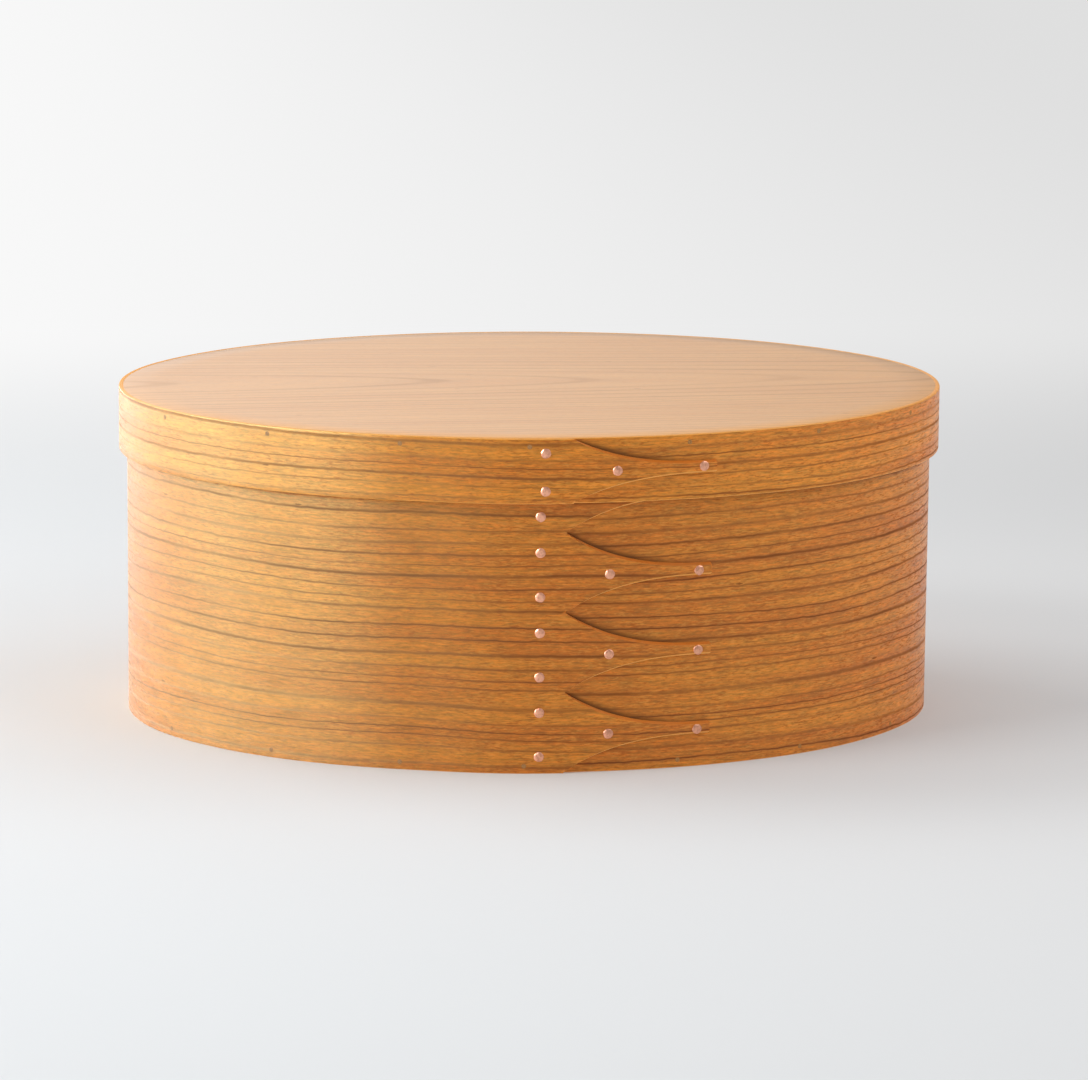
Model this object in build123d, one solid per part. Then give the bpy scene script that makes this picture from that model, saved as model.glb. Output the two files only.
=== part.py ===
from build123d import *
from dataclasses import dataclass
import math
import os

import numpy as np

# Oval bentwood cheese box with a lift-off lid. Millimetres, +Z up. The origin lies on the
# surface that the box stands on, under the middle of its oval. X runs along the length,
# and the swallowtail laps of both bands are at the front, on the -Y side. A place on a
# band is given by its run: the distance along the band's outer face from the front
# middle, positive towards +X.

# The box as a whole
box_length = 336.4
box_width = 259.4
total_height = 136.5

# The oval is laid out with a compass: a flat arc at the front and back, a rounder one at
# each shoulder and the roundest at the ends. The shoulder's radius lies this share of the
# way from that of a true ellipse's side to that of its end.
front_arc_half_angle = 25.0
shoulder_arc_angle = 30.5
shoulder_radius_share = 0.575

# Bands and boards
band_thickness = 1.8
lap_gap = 0.15
board_thickness = 4.9
board_fit = 0.05
lid_band_height = 26.1

# Fit of the lid over the box
lid_end_clearance = 1.6
lid_front_clearance = 0.25
lid_back_clearance = 0.3

# The lap: where the outer end climbs over the feathered inner end
climb_length = 44.0
climb_end_run = -18.0
feather_share = 0.28
climb_stations = 9

# Swallowtail fingers
finger_tip_height = 5.0
finger_bevel = 0.8
finger_curve_power = 2.75
finger_stations = 7
bevel_growth_power = 8
box_finger_count = 4
box_finger_length = 60.2
box_finger_droop = 0.7
box_finger_top_margin = 1.1
box_finger_bottom_margin = 0.4
lid_finger_count = 1
lid_finger_length = 58.5
lid_finger_root_run = 2.6

# Copper tacks
tack_head_diameter = 4.1
tack_head_sides = 16
tack_head_thickness = 0.4
tack_shank_width = 1.1
tack_clinch_length = 3.2
tack_clinch_depth = 0.5
tack_clinch_proud = 0.12
tack_clearance = 0.04

# Each finger has two tacks behind its root, one in its middle and one near its tip. Their
# heights are from the middle of the finger's root, as shares of the finger pitch.
box_base_tack_setback = 9.9
lid_base_tack_setback = 11.2
middle_tack_share = 0.295
tip_tack_inset = 5.5
box_tack_shares = (0.252, -0.301, -0.026, -0.031)
lid_tack_shares = (0.282, -0.304, -0.001, 0.014)

# Wooden pegs through the bands into the edges of the boards, whittled to eight flats
peg_diameter = 1.9
peg_sides = 8
peg_length = 12.0
peg_clearance = 0.03
peg_edge_distance = 3.1
peg_count = 16
# Runs of the pegs along the front, as shares of the band's way round. The others are
# spaced evenly between the last and the first.
box_front_peg_shares = (-0.1891, -0.1293, -0.0699, -0.0168, 0.0503, 0.1106, 0.1721)
lid_front_peg_shares = (-0.1875, -0.1284, -0.0692, -0.0156, 0.0521, 0.1141, 0.1768)

cut_overrun = 3.0

# Worked out from the sizes above
full_turn = 360.0
quarter_turn = full_turn / 4
end_arc_half_angle = quarter_turn - front_arc_half_angle - shoulder_arc_angle
lap_rise = band_thickness + lap_gap
lap_stack = band_thickness + lap_rise
box_band_height = total_height - board_thickness
lid_front_room = lap_rise + tack_head_thickness + lid_front_clearance
climb_start_run = climb_end_run - climb_length
inner_end_run = climb_start_run + feather_share * climb_length


@dataclass
class Hoop:
    """A bent band: one strip wound once round an oval, whose outer end laps its inner end.

    half_length and half_width are the oval's half axes at the band's inner face. A depth
    is a distance outwards from that face.
    """

    half_length: float
    half_width: float
    centre_y: float
    bottom: float
    height: float
    finger_count: int
    finger_length: float
    finger_droop: float
    finger_root_run: float
    finger_top_margin: float
    finger_bottom_margin: float
    base_tack_setback: float
    tack_shares: tuple
    peg_height: float
    front_peg_shares: tuple

    def __post_init__(self):
        shoulder_arc = (self.shoulder_radius(), shoulder_arc_angle)
        front_radius, end_radius = self.front_and_end_radii()
        front_arc = (front_radius, 2 * front_arc_half_angle)
        end_arc = (end_radius, 2 * end_arc_half_angle)
        half_way = [front_arc, shoulder_arc, end_arc, shoulder_arc]
        self.radii, sweeps = zip(*half_way, *half_way)

        # Each arc starts where the one before it ends, and its centre lies on the same
        # normal. Angles are those of the band's outward normal.
        start_angle = -quarter_turn - front_arc_half_angle
        self.angles = start_angle + np.cumsum((0.0, *sweeps))
        start_x, start_y = front_radius * self.normal(-quarter_turn)
        self.centres = [np.array((0.0 - start_x, self.centre_y - self.half_width - start_y))]
        for index, angle in enumerate(self.angles[1:-1]):
            step = self.radii[index] - self.radii[index + 1]
            self.centres.append(self.centres[index] + step * self.normal(angle))

        outer_radii = np.array(self.radii) + band_thickness
        lengths = np.concatenate(((0.0,), np.cumsum(outer_radii * np.radians(sweeps))))
        self.runs = lengths - outer_radii[0] * math.radians(front_arc_half_angle)
        self.way_round = lengths[-1]
        margins = self.finger_top_margin + self.finger_bottom_margin
        self.finger_pitch = (self.height - margins) / self.finger_count

    def normal(self, angle):
        """The unit vector at an angle in degrees."""
        return np.array((math.cos(math.radians(angle)), math.sin(math.radians(angle))))

    def shoulder_radius(self):
        """The radius of the shoulders, between those of the ellipse's side and its end."""
        side = self.half_length**2 / self.half_width
        end = self.half_width**2 / self.half_length
        return side + shoulder_radius_share * (end - side)

    def front_and_end_radii(self):
        """The radii that bring a quarter of the oval exactly to its half axes."""
        shoulder = self.shoulder_radius()
        front = self.normal(front_arc_half_angle)
        last = self.normal(front_arc_half_angle + shoulder_arc_angle)
        across = (front[1], 1 - last[1])
        along = (1 - front[0], last[0])
        left_across = self.half_length - shoulder * (last[1] - front[1])
        left_along = self.half_width - shoulder * (front[0] - last[0])
        return np.linalg.solve((across, along), (left_across, left_along))

    def angle(self, run):
        """The angle of the normal at a run, in degrees. It grows steadily past a full turn."""
        turns = math.floor((run - self.runs[0]) / self.way_round)
        angle = np.interp(run - turns * self.way_round, self.runs, self.angles)
        return angle + turns * full_turn

    def arc_index(self, angle):
        """Which arc holds an angle between the first arc's start and a full turn later."""
        return min(int(np.searchsorted(self.angles, angle, "right")) - 1, len(self.radii) - 1)

    def point(self, run, depth, z=0.0):
        """The point of the band at a run, a depth and a height."""
        angle = self.angle(run)
        turned = (angle - self.angles[0]) % full_turn + self.angles[0]
        index = self.arc_index(turned)
        x, y = self.centres[index] + (self.radii[index] + depth) * self.normal(turned)
        return Vector(x, y, z)

    def seat(self, run, depth, z):
        """A plane on the band: its x runs along the band, and its z points outwards."""
        outwards = Vector(*self.normal(self.angle(run)), 0)
        along = Vector(0, 0, 1).cross(outwards)
        return Plane(self.point(run, depth, z), x_dir=along, z_dir=outwards)

    def arcs(self, depth, start_run, end_run):
        """The arcs of the oval at a depth, from one run to a later one."""
        start_angle, end_angle = self.angle(start_run), self.angle(end_run)
        bounds = [*self.angles, *(self.angles[1:] + full_turn)]
        stops = [angle for angle in bounds if start_angle < angle < end_angle]
        pieces = []
        for start, stop in zip([start_angle, *stops], [*stops, end_angle]):
            middle = ((start + stop) / 2 - self.angles[0]) % full_turn + self.angles[0]
            index = self.arc_index(middle)
            centre = Vector(*self.centres[index])
            pieces.append(CenterArc(centre, self.radii[index] + depth, start, stop - start))
        return pieces

    def climb(self, run):
        """How far the outer end has climbed at a run: a smooth step up to lap_rise."""
        share = min(max((run - climb_start_run) / climb_length, 0.0), 1.0)
        return lap_rise * share * share * (3 - 2 * share)

    def slope(self, extra_depth, start_run, end_run):
        """A smooth curve that follows the climb, extra_depth outside it."""
        runs = np.linspace(start_run, end_run, climb_stations)
        return Spline(*[self.point(run, self.climb(run) + extra_depth) for run in runs])

    def finger_middle(self, index):
        """The height of the middle of a finger's root. Finger 0 is the top one."""
        top_root = self.bottom + self.height - self.finger_top_margin
        return top_root - (index + 0.5) * self.finger_pitch

    def tack_places(self, index):
        """Run and height of each tack of a finger."""
        base_run = self.finger_root_run - self.base_tack_setback
        middle_run = self.finger_root_run + middle_tack_share * self.finger_length
        tip_run = self.finger_root_run + self.finger_length - tip_tack_inset
        runs = (base_run, base_run, middle_run, tip_run)
        middle = self.finger_middle(index)
        return [
            (run, middle + share * self.finger_pitch)
            for run, share in zip(runs, self.tack_shares)
        ]

    def peg_runs(self):
        """The runs of all the pegs: those along the front, then evenly spaced ones."""
        front = self.front_peg_shares
        spaces = peg_count - len(front) + 1
        step = (1 + front[0] - front[-1]) / spaces
        rest = [front[-1] + step * (index + 1) for index in range(spaces - 1)]
        return [share * self.way_round for share in (*front, *rest)]


box_hoop = Hoop(
    half_length=box_length / 2 - band_thickness,
    half_width=box_width / 2 - band_thickness,
    centre_y=0.0,
    bottom=0.0,
    height=box_band_height,
    finger_count=box_finger_count,
    finger_length=box_finger_length,
    finger_droop=box_finger_droop,
    finger_root_run=0.0,
    finger_top_margin=box_finger_top_margin,
    finger_bottom_margin=box_finger_bottom_margin,
    base_tack_setback=box_base_tack_setback,
    tack_shares=box_tack_shares,
    peg_height=peg_edge_distance,
    front_peg_shares=box_front_peg_shares,
)

# The lid's oval sits forward of the box's, because the box's lap stands out at the front.
lid_hoop = Hoop(
    half_length=box_length / 2 + lid_end_clearance,
    half_width=box_width / 2 + (lid_front_room + lid_back_clearance) / 2,
    centre_y=-(lid_front_room - lid_back_clearance) / 2,
    bottom=total_height - lid_band_height,
    height=lid_band_height,
    finger_count=lid_finger_count,
    finger_length=lid_finger_length,
    finger_droop=0.0,
    finger_root_run=lid_finger_root_run,
    finger_top_margin=0.0,
    finger_bottom_margin=0.0,
    base_tack_setback=lid_base_tack_setback,
    tack_shares=lid_tack_shares,
    peg_height=total_height - peg_edge_distance,
    front_peg_shares=lid_front_peg_shares,
)


def finger_section(hoop, share, middle):
    """A finger cut square across at a share of its length from the root.

    Half its height falls from half the pitch to the tip's, by a power of the length that
    is left. Its bevel widens quickly from nothing at the root.
    """
    left = 1 - share
    tip = finger_tip_height / 2
    foot = tip + (hoop.finger_pitch / 2 - tip) * left**finger_curve_power
    crown = foot - finger_bevel * (1 - left**bevel_growth_power)
    run = hoop.finger_root_run + share * hoop.finger_length
    height = middle - hoop.finger_droop * share
    corners = (
        hoop.point(run, lap_rise, height + foot),
        hoop.point(run, lap_stack, height + crown),
        hoop.point(run, lap_stack, height - crown),
        hoop.point(run, lap_rise, height - foot),
    )
    return make_face(Polyline(*corners, close=True))


def make_finger(hoop, index):
    """One finger of the lap: a loft along the band, with curved and bevelled edges."""
    middle = hoop.finger_middle(index)
    shares = np.linspace(0, 1, finger_stations)
    return loft([finger_section(hoop, share, middle) for share in shares])


def make_hoop(hoop):
    """The bent strip with its lap and fingers, holed for its tacks and pegs."""
    all_round = hoop.way_round
    inner_face = hoop.arcs(0.0, inner_end_run, climb_start_run + all_round)
    under_climb = hoop.slope(0.0, climb_start_run, climb_end_run)
    under_lap = hoop.arcs(lap_rise, climb_end_run, hoop.finger_root_run)
    over_lap = hoop.arcs(lap_stack, climb_end_run, hoop.finger_root_run)
    over_climb = hoop.slope(band_thickness, climb_start_run, climb_end_run)
    outer_face = hoop.arcs(band_thickness, climb_end_run, climb_start_run + all_round)
    feather = hoop.slope(-lap_gap, inner_end_run, climb_end_run)
    outline = [
        *inner_face,
        under_climb,
        *under_lap,
        Line(under_lap[-1] @ 1, over_lap[-1] @ 1),
        *over_lap,
        over_climb,
        *outer_face,
        feather,
        Line(feather @ 0, inner_face[0] @ 0),
    ]
    plan = Pos(0, 0, hoop.bottom) * make_face([line.edge() for line in outline])
    strip = extrude(plan, hoop.height, dir=(0, 0, 1))
    strip += [make_finger(hoop, index) for index in range(hoop.finger_count)]
    for index in range(hoop.finger_count):
        strip -= at_tack_places(hoop, index, shank_form(tack_clearance))
    return strip - make_pegs(hoop, peg_clearance)


def shank_form(grown):
    """A tack's square shank through a lap, from its inner face out to the head, with its
    point clinched along +X. grown widens it all over, for the hole that it fills."""
    half = tack_shank_width / 2 + grown
    end = tack_clinch_length + grown
    top = lap_stack + (cut_overrun if grown else 0.0)
    side = Polyline(
        (-half, top),
        (-half, 0),
        (0, -tack_clinch_proud - grown),
        (end, -grown),
        (end, tack_clinch_proud + grown),
        (half, tack_clinch_depth),
        (half, top),
        close=True,
    )
    return extrude(Plane.XZ * make_face(side), half, both=True)


def tack_form():
    """A tack, with its hammered head lying on the lap."""
    outline = RegularPolygon(tack_head_diameter / 2, tack_head_sides)
    head = extrude(Pos(0, 0, lap_stack) * outline, tack_head_thickness)
    return head + shank_form(0.0)


def at_tack_places(hoop, index, form):
    """A form in place of each tack of one finger."""
    return [hoop.seat(run, 0.0, z) * form for run, z in hoop.tack_places(index)]


def peg_form(grown):
    """A peg along Z with its cut end at zero, or its hole when grown."""
    beyond = cut_overrun if grown else 0.0
    length = peg_length + grown + beyond
    section = RegularPolygon(peg_diameter / 2 + grown, peg_sides)
    return extrude(Pos(0, 0, beyond - length) * section, length)


def make_pegs(hoop, grown=0.0):
    """The pegs round a hoop, cut off flush outside, or their holes when grown."""
    form = peg_form(grown)
    pegs = []
    for run in hoop.peg_runs():
        from_front = run - hoop.way_round if run > hoop.way_round / 2 else run
        rise = hoop.climb(from_front) if from_front < 0 else 0.0
        pegs.append(hoop.seat(run, band_thickness + rise, hoop.peg_height) * form)
    return pegs


def make_board(hoop, bottom):
    """A flat oval board that fits inside a hoop, holed for the pegs."""
    outline = hoop.arcs(-board_fit, 0.0, hoop.way_round)
    oval = Pos(0, 0, bottom) * make_face([line.edge() for line in outline])
    board = extrude(oval, board_thickness, dir=(0, 0, 1))
    return board - make_pegs(hoop, peg_clearance)


def as_group(solids):
    """Separate solids kept together as one sub-part."""
    return Compound([piece.solid() for piece in solids])


parts = {
    "box_band": make_hoop(box_hoop),
    "bottom_board": make_board(box_hoop, 0.0),
    "bottom_pegs": as_group(make_pegs(box_hoop)),
    "lid_band": make_hoop(lid_hoop),
    "lid_board": make_board(lid_hoop, total_height - board_thickness),
    "lid_pegs": as_group(make_pegs(lid_hoop)),
    "lid_tacks": as_group(at_tack_places(lid_hoop, 0, tack_form())),
}
for number in range(box_finger_count):
    parts[f"box_finger_{number + 1}_tacks"] = as_group(at_tack_places(box_hoop, number, tack_form()))

os.makedirs("parts", exist_ok=True)
for name, part in parts.items():
    export_step(part, f"parts/{name}.step")
    print(name, len(part.solids()), round(part.volume, 1))
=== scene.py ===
"""The looks of an oval bentwood cheese box with a lift-off lid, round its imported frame.

Lengths are in metres. +Z is up, and the origin lies on the surface that the box stands on,
under the middle of its oval. X runs along the length, and the swallowtail laps of both bands
are at the front, on the -Y side. A place on a band has three numbers: its run, the distance
along the band's outer face from the front middle, positive towards +X; its height; and its
depth, the distance outwards from the band's inner face.
"""

import logging
import math
from dataclasses import dataclass, field
from enum import Enum
from functools import partialmethod

import bmesh
import bpy
import numpy as np
from bpy.types import Collection, Material, Node, NodeSocket, NodeTree, Object
from mathutils import Matrix, Vector

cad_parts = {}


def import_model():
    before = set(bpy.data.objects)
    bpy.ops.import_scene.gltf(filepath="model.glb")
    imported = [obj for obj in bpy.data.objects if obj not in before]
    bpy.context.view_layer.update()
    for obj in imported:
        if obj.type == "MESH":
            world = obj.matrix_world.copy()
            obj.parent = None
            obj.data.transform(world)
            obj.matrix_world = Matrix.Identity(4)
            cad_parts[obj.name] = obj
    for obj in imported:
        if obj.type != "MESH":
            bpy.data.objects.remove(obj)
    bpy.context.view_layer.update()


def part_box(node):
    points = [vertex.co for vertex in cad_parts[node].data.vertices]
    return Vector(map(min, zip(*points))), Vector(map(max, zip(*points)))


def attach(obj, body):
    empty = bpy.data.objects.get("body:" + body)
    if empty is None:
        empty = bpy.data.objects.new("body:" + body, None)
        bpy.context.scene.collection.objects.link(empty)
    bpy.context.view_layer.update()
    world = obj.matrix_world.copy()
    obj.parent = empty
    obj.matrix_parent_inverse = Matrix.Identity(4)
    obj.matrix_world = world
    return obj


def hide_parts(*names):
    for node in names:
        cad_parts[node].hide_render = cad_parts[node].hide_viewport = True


log = logging.getLogger("cheese_box")

MM = 0.001
GRAIN_PLACE = "grain_place"
CUT_EDGE = "cut_edge"
Pair = tuple[float, float]
Series = tuple[float, ...]
Triple = tuple[float, float, float]
Arrays = tuple[np.ndarray, np.ndarray]


class Wood(Enum):
    """The kinds of cherry surface. Each value is the finish's material name."""

    BOX_BAND = "box_band_cherry"
    LID_BAND = "lid_band_cherry"
    LID_BOARD = "lid_board_cherry_painted_light"
    BOTTOM_BOARD = "bottom_board_cherry"


def unit(angles: np.ndarray) -> np.ndarray:
    """Gives the flat unit vectors at some angles from +X: their cosine and sine, in a last axis."""
    return np.stack((np.cos(angles), np.sin(angles)), axis=-1)


def smooth_step(share: np.ndarray) -> np.ndarray:
    """Eases 0 to 1 with level ends: three times the square less twice the cube."""
    held = np.clip(share, 0.0, 1.0)
    return held * held * (3 - 2 * held)


def with_heights(flat: np.ndarray, heights: np.ndarray) -> np.ndarray:
    """Raises rings of flat points, each ring to its own height."""
    return np.concatenate((flat, np.broadcast_to(heights[:, None, None], (*flat.shape[:2], 1))), axis=-1)


@dataclass
class Oval:
    """The oval that a band is bent round, laid out with a compass.

    It has a flat arc at the front and back, a rounder one at each shoulder and the roundest
    at the ends. Half the length and half the width are those of the band's inner face. Each
    arc's centre lies on the normal that it shares with the arc before it.
    """

    half_length: float
    half_width: float
    centre_y: float
    thickness: float
    front_half_angle: float = math.radians(25.0)
    shoulder_angle: float = math.radians(30.5)
    shoulder_share: float = 0.575
    radii: np.ndarray = field(init=False)
    angles: np.ndarray = field(init=False)
    centres: np.ndarray = field(init=False)
    bounds: np.ndarray = field(init=False)

    def __post_init__(self) -> None:
        """Works out the arcs.

        The shoulder's radius lies a share of the way from an ellipse's side radius to its
        end radius. The other two bring a quarter of the oval exactly to its half axes.
        """
        side = self.half_length**2 / self.half_width
        end = self.half_width**2 / self.half_length
        shoulder = side + self.shoulder_share * (end - side)
        first = self.front_half_angle
        last = first + self.shoulder_angle
        steps = ((math.sin(first), 1 - math.sin(last)), (1 - math.cos(first), math.cos(last)))
        left = (
            self.half_length - shoulder * (math.sin(last) - math.sin(first)),
            self.half_width - shoulder * (math.cos(first) - math.cos(last)),
        )
        front_radius, end_radius = np.linalg.solve(steps, left)
        self.radii = np.array((front_radius, shoulder, end_radius, shoulder) * 2)
        sweeps = np.array((2 * first, last - first, math.pi - 2 * last, last - first) * 2)
        self.angles = np.concatenate(((0.0,), np.cumsum(sweeps))) - math.pi / 2 - first
        moves = (self.radii[:-1] - self.radii[1:])[:, None] * unit(self.angles[1:-1])
        first_centre = np.array((0.0, self.centre_y - self.half_width + front_radius))
        self.centres = first_centre + np.concatenate((np.zeros((1, 2)), np.cumsum(moves, axis=0)))
        lengths = np.cumsum((self.radii + self.thickness) * sweeps)
        middle = (front_radius + self.thickness) * first
        self.bounds = np.concatenate(((0.0,), lengths)) - middle

    @property
    def way_round(self) -> float:
        """The length of the outer face, once round."""
        return float(self.bounds[-1] - self.bounds[0])

    def place(self, run: np.ndarray, depth: np.ndarray) -> Arrays:
        """Finds points of the band.

        A point is its arc's centre plus the arc's radius and the depth along the normal. The
        normal turns evenly with the run.

        Args:
            run: Runs, of any number of turns.
            depth: Depths, of a shape that goes with the runs.

        Returns:
            The points and their outward normals, each with x and y in the last axis.
        """
        run, depth = np.broadcast_arrays(run, depth)
        turned = (run - self.bounds[0]) % self.way_round + self.bounds[0]
        arc = np.searchsorted(self.bounds[1:-1], turned, side="right")
        outer = self.radii[arc] + self.thickness
        normal = unit(self.angles[arc] + (turned - self.bounds[arc]) / outer)
        return self.centres[arc] + (self.radii[arc] + depth)[..., None] * normal, normal


class MeshMaker:
    """Gathers tubes and flat faces of one piece, and joins them into a closed mesh."""

    merge_distance = 0.0005 * MM
    least_edge = 0.0002 * MM

    def __init__(self) -> None:
        """Starts with nothing."""
        self.points: list[np.ndarray] = []
        self.places: list[np.ndarray] = []
        self.masks: list[np.ndarray] = []
        self.faces: list[list[int]] = []
        self.count = 0

    def _keep(self, points: np.ndarray, places: np.ndarray, mask: np.ndarray) -> int:
        """Stores vertices.

        Args:
            points: Points, with their coordinates in the last axis.
            places: The grain's own coordinates of each point.
            mask: The edge mask of each point.

        Returns:
            The number of the first vertex.
        """
        first = self.count
        self.points.append(points.reshape(-1, 3))
        self.places.append(np.broadcast_to(places, points.shape).reshape(-1, 3))
        self.masks.append(np.broadcast_to(mask, points.shape[:-1]).reshape(-1))
        self.count += self.points[-1].shape[0]
        return first

    def grid(self, points: np.ndarray, places: np.ndarray, mask: np.ndarray = np.zeros(1)) -> None:
        """Adds a tube: rings of points, each ring closed on itself.

        Args:
            points: Rings, ring points and coordinates, in that order of axes.
            places: The grain's own coordinates of each point.
            mask: A number for each point: 1 on a cut edge, -1 on a rim and 0 elsewhere.
        """
        first = self._keep(points, places, mask)
        rings, around = points.shape[:2]
        ring = np.arange(rings - 1)[:, None] * around
        here = np.arange(around)[None, :]
        ahead = (here + 1) % around
        corners = (ring + here, ring + ahead, ring + around + ahead, ring + around + here)
        self.faces += (first + np.stack(corners, axis=-1).reshape(-1, 4)).tolist()

    def cap(self, points: np.ndarray, places: np.ndarray, mask: np.ndarray = np.zeros(1)) -> None:
        """Adds one flat face round a loop of points, for the arguments of grid."""
        first = self._keep(points, places, mask)
        self.faces.append(list(range(first, self.count)))

    def build(self, node: str, craft: str, body: str, slot: str, sharp_angle: float) -> Object:
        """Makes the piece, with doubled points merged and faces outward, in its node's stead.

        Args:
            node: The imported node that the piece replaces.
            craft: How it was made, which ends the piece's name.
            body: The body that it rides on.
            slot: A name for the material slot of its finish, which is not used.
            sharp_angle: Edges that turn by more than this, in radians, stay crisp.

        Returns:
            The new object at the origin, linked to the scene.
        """
        name = f"{node}_{craft}"
        mesh = bpy.data.meshes.new(name)
        mesh.from_pydata(np.concatenate(self.points), [], self.faces)
        along = mesh.attributes.new(GRAIN_PLACE, "FLOAT_VECTOR", "POINT")
        along.data.foreach_set("vector", np.concatenate(self.places).astype(np.float32).ravel())
        cut = mesh.attributes.new(CUT_EDGE, "FLOAT", "POINT")
        cut.data.foreach_set("value", np.concatenate(self.masks).astype(np.float32))
        shape = bmesh.new()
        shape.from_mesh(mesh)
        bmesh.ops.remove_doubles(shape, verts=shape.verts, dist=self.merge_distance)
        bmesh.ops.dissolve_degenerate(shape, edges=shape.edges, dist=self.least_edge)
        bmesh.ops.recalc_face_normals(shape, faces=shape.faces)
        open_edges = sum(not edge.is_manifold for edge in shape.edges)
        shape.to_mesh(mesh)
        shape.free()
        mesh.shade_smooth()
        mesh.set_sharp_from_angle(angle=sharp_angle)
        made = bpy.data.objects.new(name, mesh)
        bpy.context.scene.collection.objects.link(made)
        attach(made, body)
        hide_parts(node)
        log.info("%s: %d faces, %d open edges", name, len(mesh.polygons), open_edges)
        return made


@dataclass
class Band:
    """A bent band: one strip wound once round its oval, whose outer end laps its inner end.

    The inner end is feathered. The outer end climbs over it in a smooth step and is cut into
    swallowtail fingers with curved, bevelled edges. Runs past the way round belong to the
    outer layer of the lap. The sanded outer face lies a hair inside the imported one, on which
    the pegs end. A board is flush with the rim on the flush side: 1 for up and -1 for down.
    """

    node: str
    body: str
    finger_count: int
    finger_length: float
    flush_side: int
    root_run: float = 0.0
    droop: float = 0.0
    top_margin: float = 0.0
    bottom_margin: float = 0.0
    thickness: float = 1.8 * MM
    sanding: float = 0.03 * MM
    lap_gap: float = 0.15 * MM
    climb_length: float = 44.0 * MM
    climb_end_run: float = -18.0 * MM
    feather_share: float = 0.28
    tip_height: float = 5.0 * MM
    bevel: float = 0.8 * MM
    curve_power: float = 2.75
    bevel_growth_power: float = 8.0
    rim_round: float = 0.35 * MM
    flush_round: float = 0.03 * MM
    most_round_share: float = 0.45
    crown_round: float = 0.16 * MM
    station_step: float = 3.0 * MM
    finger_stations: int = 46
    finger_columns: int = 12
    round_points: int = 5
    sharp_angle: float = math.radians(38.0)
    oval: Oval = field(init=False)

    def __post_init__(self) -> None:
        """Takes the oval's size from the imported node: the lap is its most forward place."""
        low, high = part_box(self.node)
        half_width = (high.y - low.y - self.thickness - self.stack) / 2
        self.oval = Oval(
            half_length=(high.x - low.x) / 2 - self.thickness,
            half_width=half_width,
            centre_y=high.y - self.thickness - half_width,
            thickness=self.thickness,
        )
        self.bottom, self.top = low.z, high.z

    @property
    def lap_rise(self) -> float:
        """The depth of the outer layer's inner face over the lap."""
        return self.thickness + self.lap_gap

    @property
    def stack(self) -> float:
        """The thickness of both layers and the gap between them."""
        return self.thickness + self.lap_rise

    @property
    def roots(self) -> np.ndarray:
        """The heights of the finger roots, from the lowest up."""
        low = self.bottom + max(self.bottom_margin, self.rim_round)
        high = self.top - max(self.top_margin, self.rim_round)
        return np.linspace(low, high, self.finger_count + 1)

    @property
    def face_shares(self) -> np.ndarray:
        """The columns of one finger's face, as shares of its height."""
        return np.linspace(0.0, 1.0, self.finger_columns + 1)

    def climb(self, run: np.ndarray) -> np.ndarray:
        """How far the outer layer has climbed at a run that is zero at the front middle."""
        start = self.climb_end_run - self.climb_length
        return self.lap_rise * smooth_step((run - start) / self.climb_length)

    def faces_at(self, run: np.ndarray) -> Arrays:
        """Gives the depths of the strip's inner and outer face along it.

        The feathered end lies under the climbing outer end, so its outer face follows the
        climb less the gap. The strip's far end follows the climb with its inner face.

        Args:
            run: Runs from the feathered end to the outer end.

        Returns:
            The depths of the inner face and of the outer face.
        """
        inner = self.climb(run - self.oval.way_round)
        outer = inner + self.thickness - self.sanding
        return inner, np.where(run < self.climb_end_run, self.climb(run) - self.lap_gap, outer)

    def rim(self, inner: np.ndarray, outer: np.ndarray, edge: float, side: int) -> Arrays:
        """Rounds one rim of the strip, from its outer face to its inner face.

        Each corner is a quarter of an ellipse: the cosine and sine of an angle times the
        rounding, which is never more than a share of the thickness. Where a board is sanded
        flush with the rim, the inner corner is all but sharp.

        Args:
            inner: Depths of the inner face, one for each station.
            outer: Depths of the outer face.
            edge: The height of the rim.
            side: 1 for the upper rim and -1 for the lower.

        Returns:
            Depths and heights, with the stations first and the points across last.
        """
        inner_round = self.flush_round if side == self.flush_side else self.rim_round
        most = self.most_round_share * (outer - inner)
        ease = np.minimum(self.rim_round, most)[:, None]
        inner_ease = np.minimum(inner_round, most)[:, None]
        angle = np.linspace(0.0, math.pi / 2, self.round_points)[None, :]
        first = outer[:, None] - ease * (1 - np.cos(angle))
        second = inner[:, None] + inner_ease * (1 - np.sin(angle))
        first_height = edge - side * self.rim_round * (1 - np.sin(angle)) + 0 * first
        second_height = edge - side * inner_round * (1 - np.cos(angle)) + 0 * second
        heights = np.concatenate((first_height, second_height), axis=1)
        return np.concatenate((first, second), axis=1), heights

    def on_band(self, run: np.ndarray, depth: np.ndarray, height: np.ndarray) -> Arrays:
        """Turns runs, depths and heights into points.

        Args:
            run: Runs.
            depth: Depths, of a shape that goes with the runs.
            height: Heights, likewise.

        Returns:
            The points and their grain places: run, height and depth.
        """
        run, depth, height = np.broadcast_arrays(run, depth, height)
        flat, _ = self.oval.place(run, depth)
        points = np.concatenate((flat, height[..., None]), axis=-1)
        return points, np.stack((run, height, depth), axis=-1)

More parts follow.
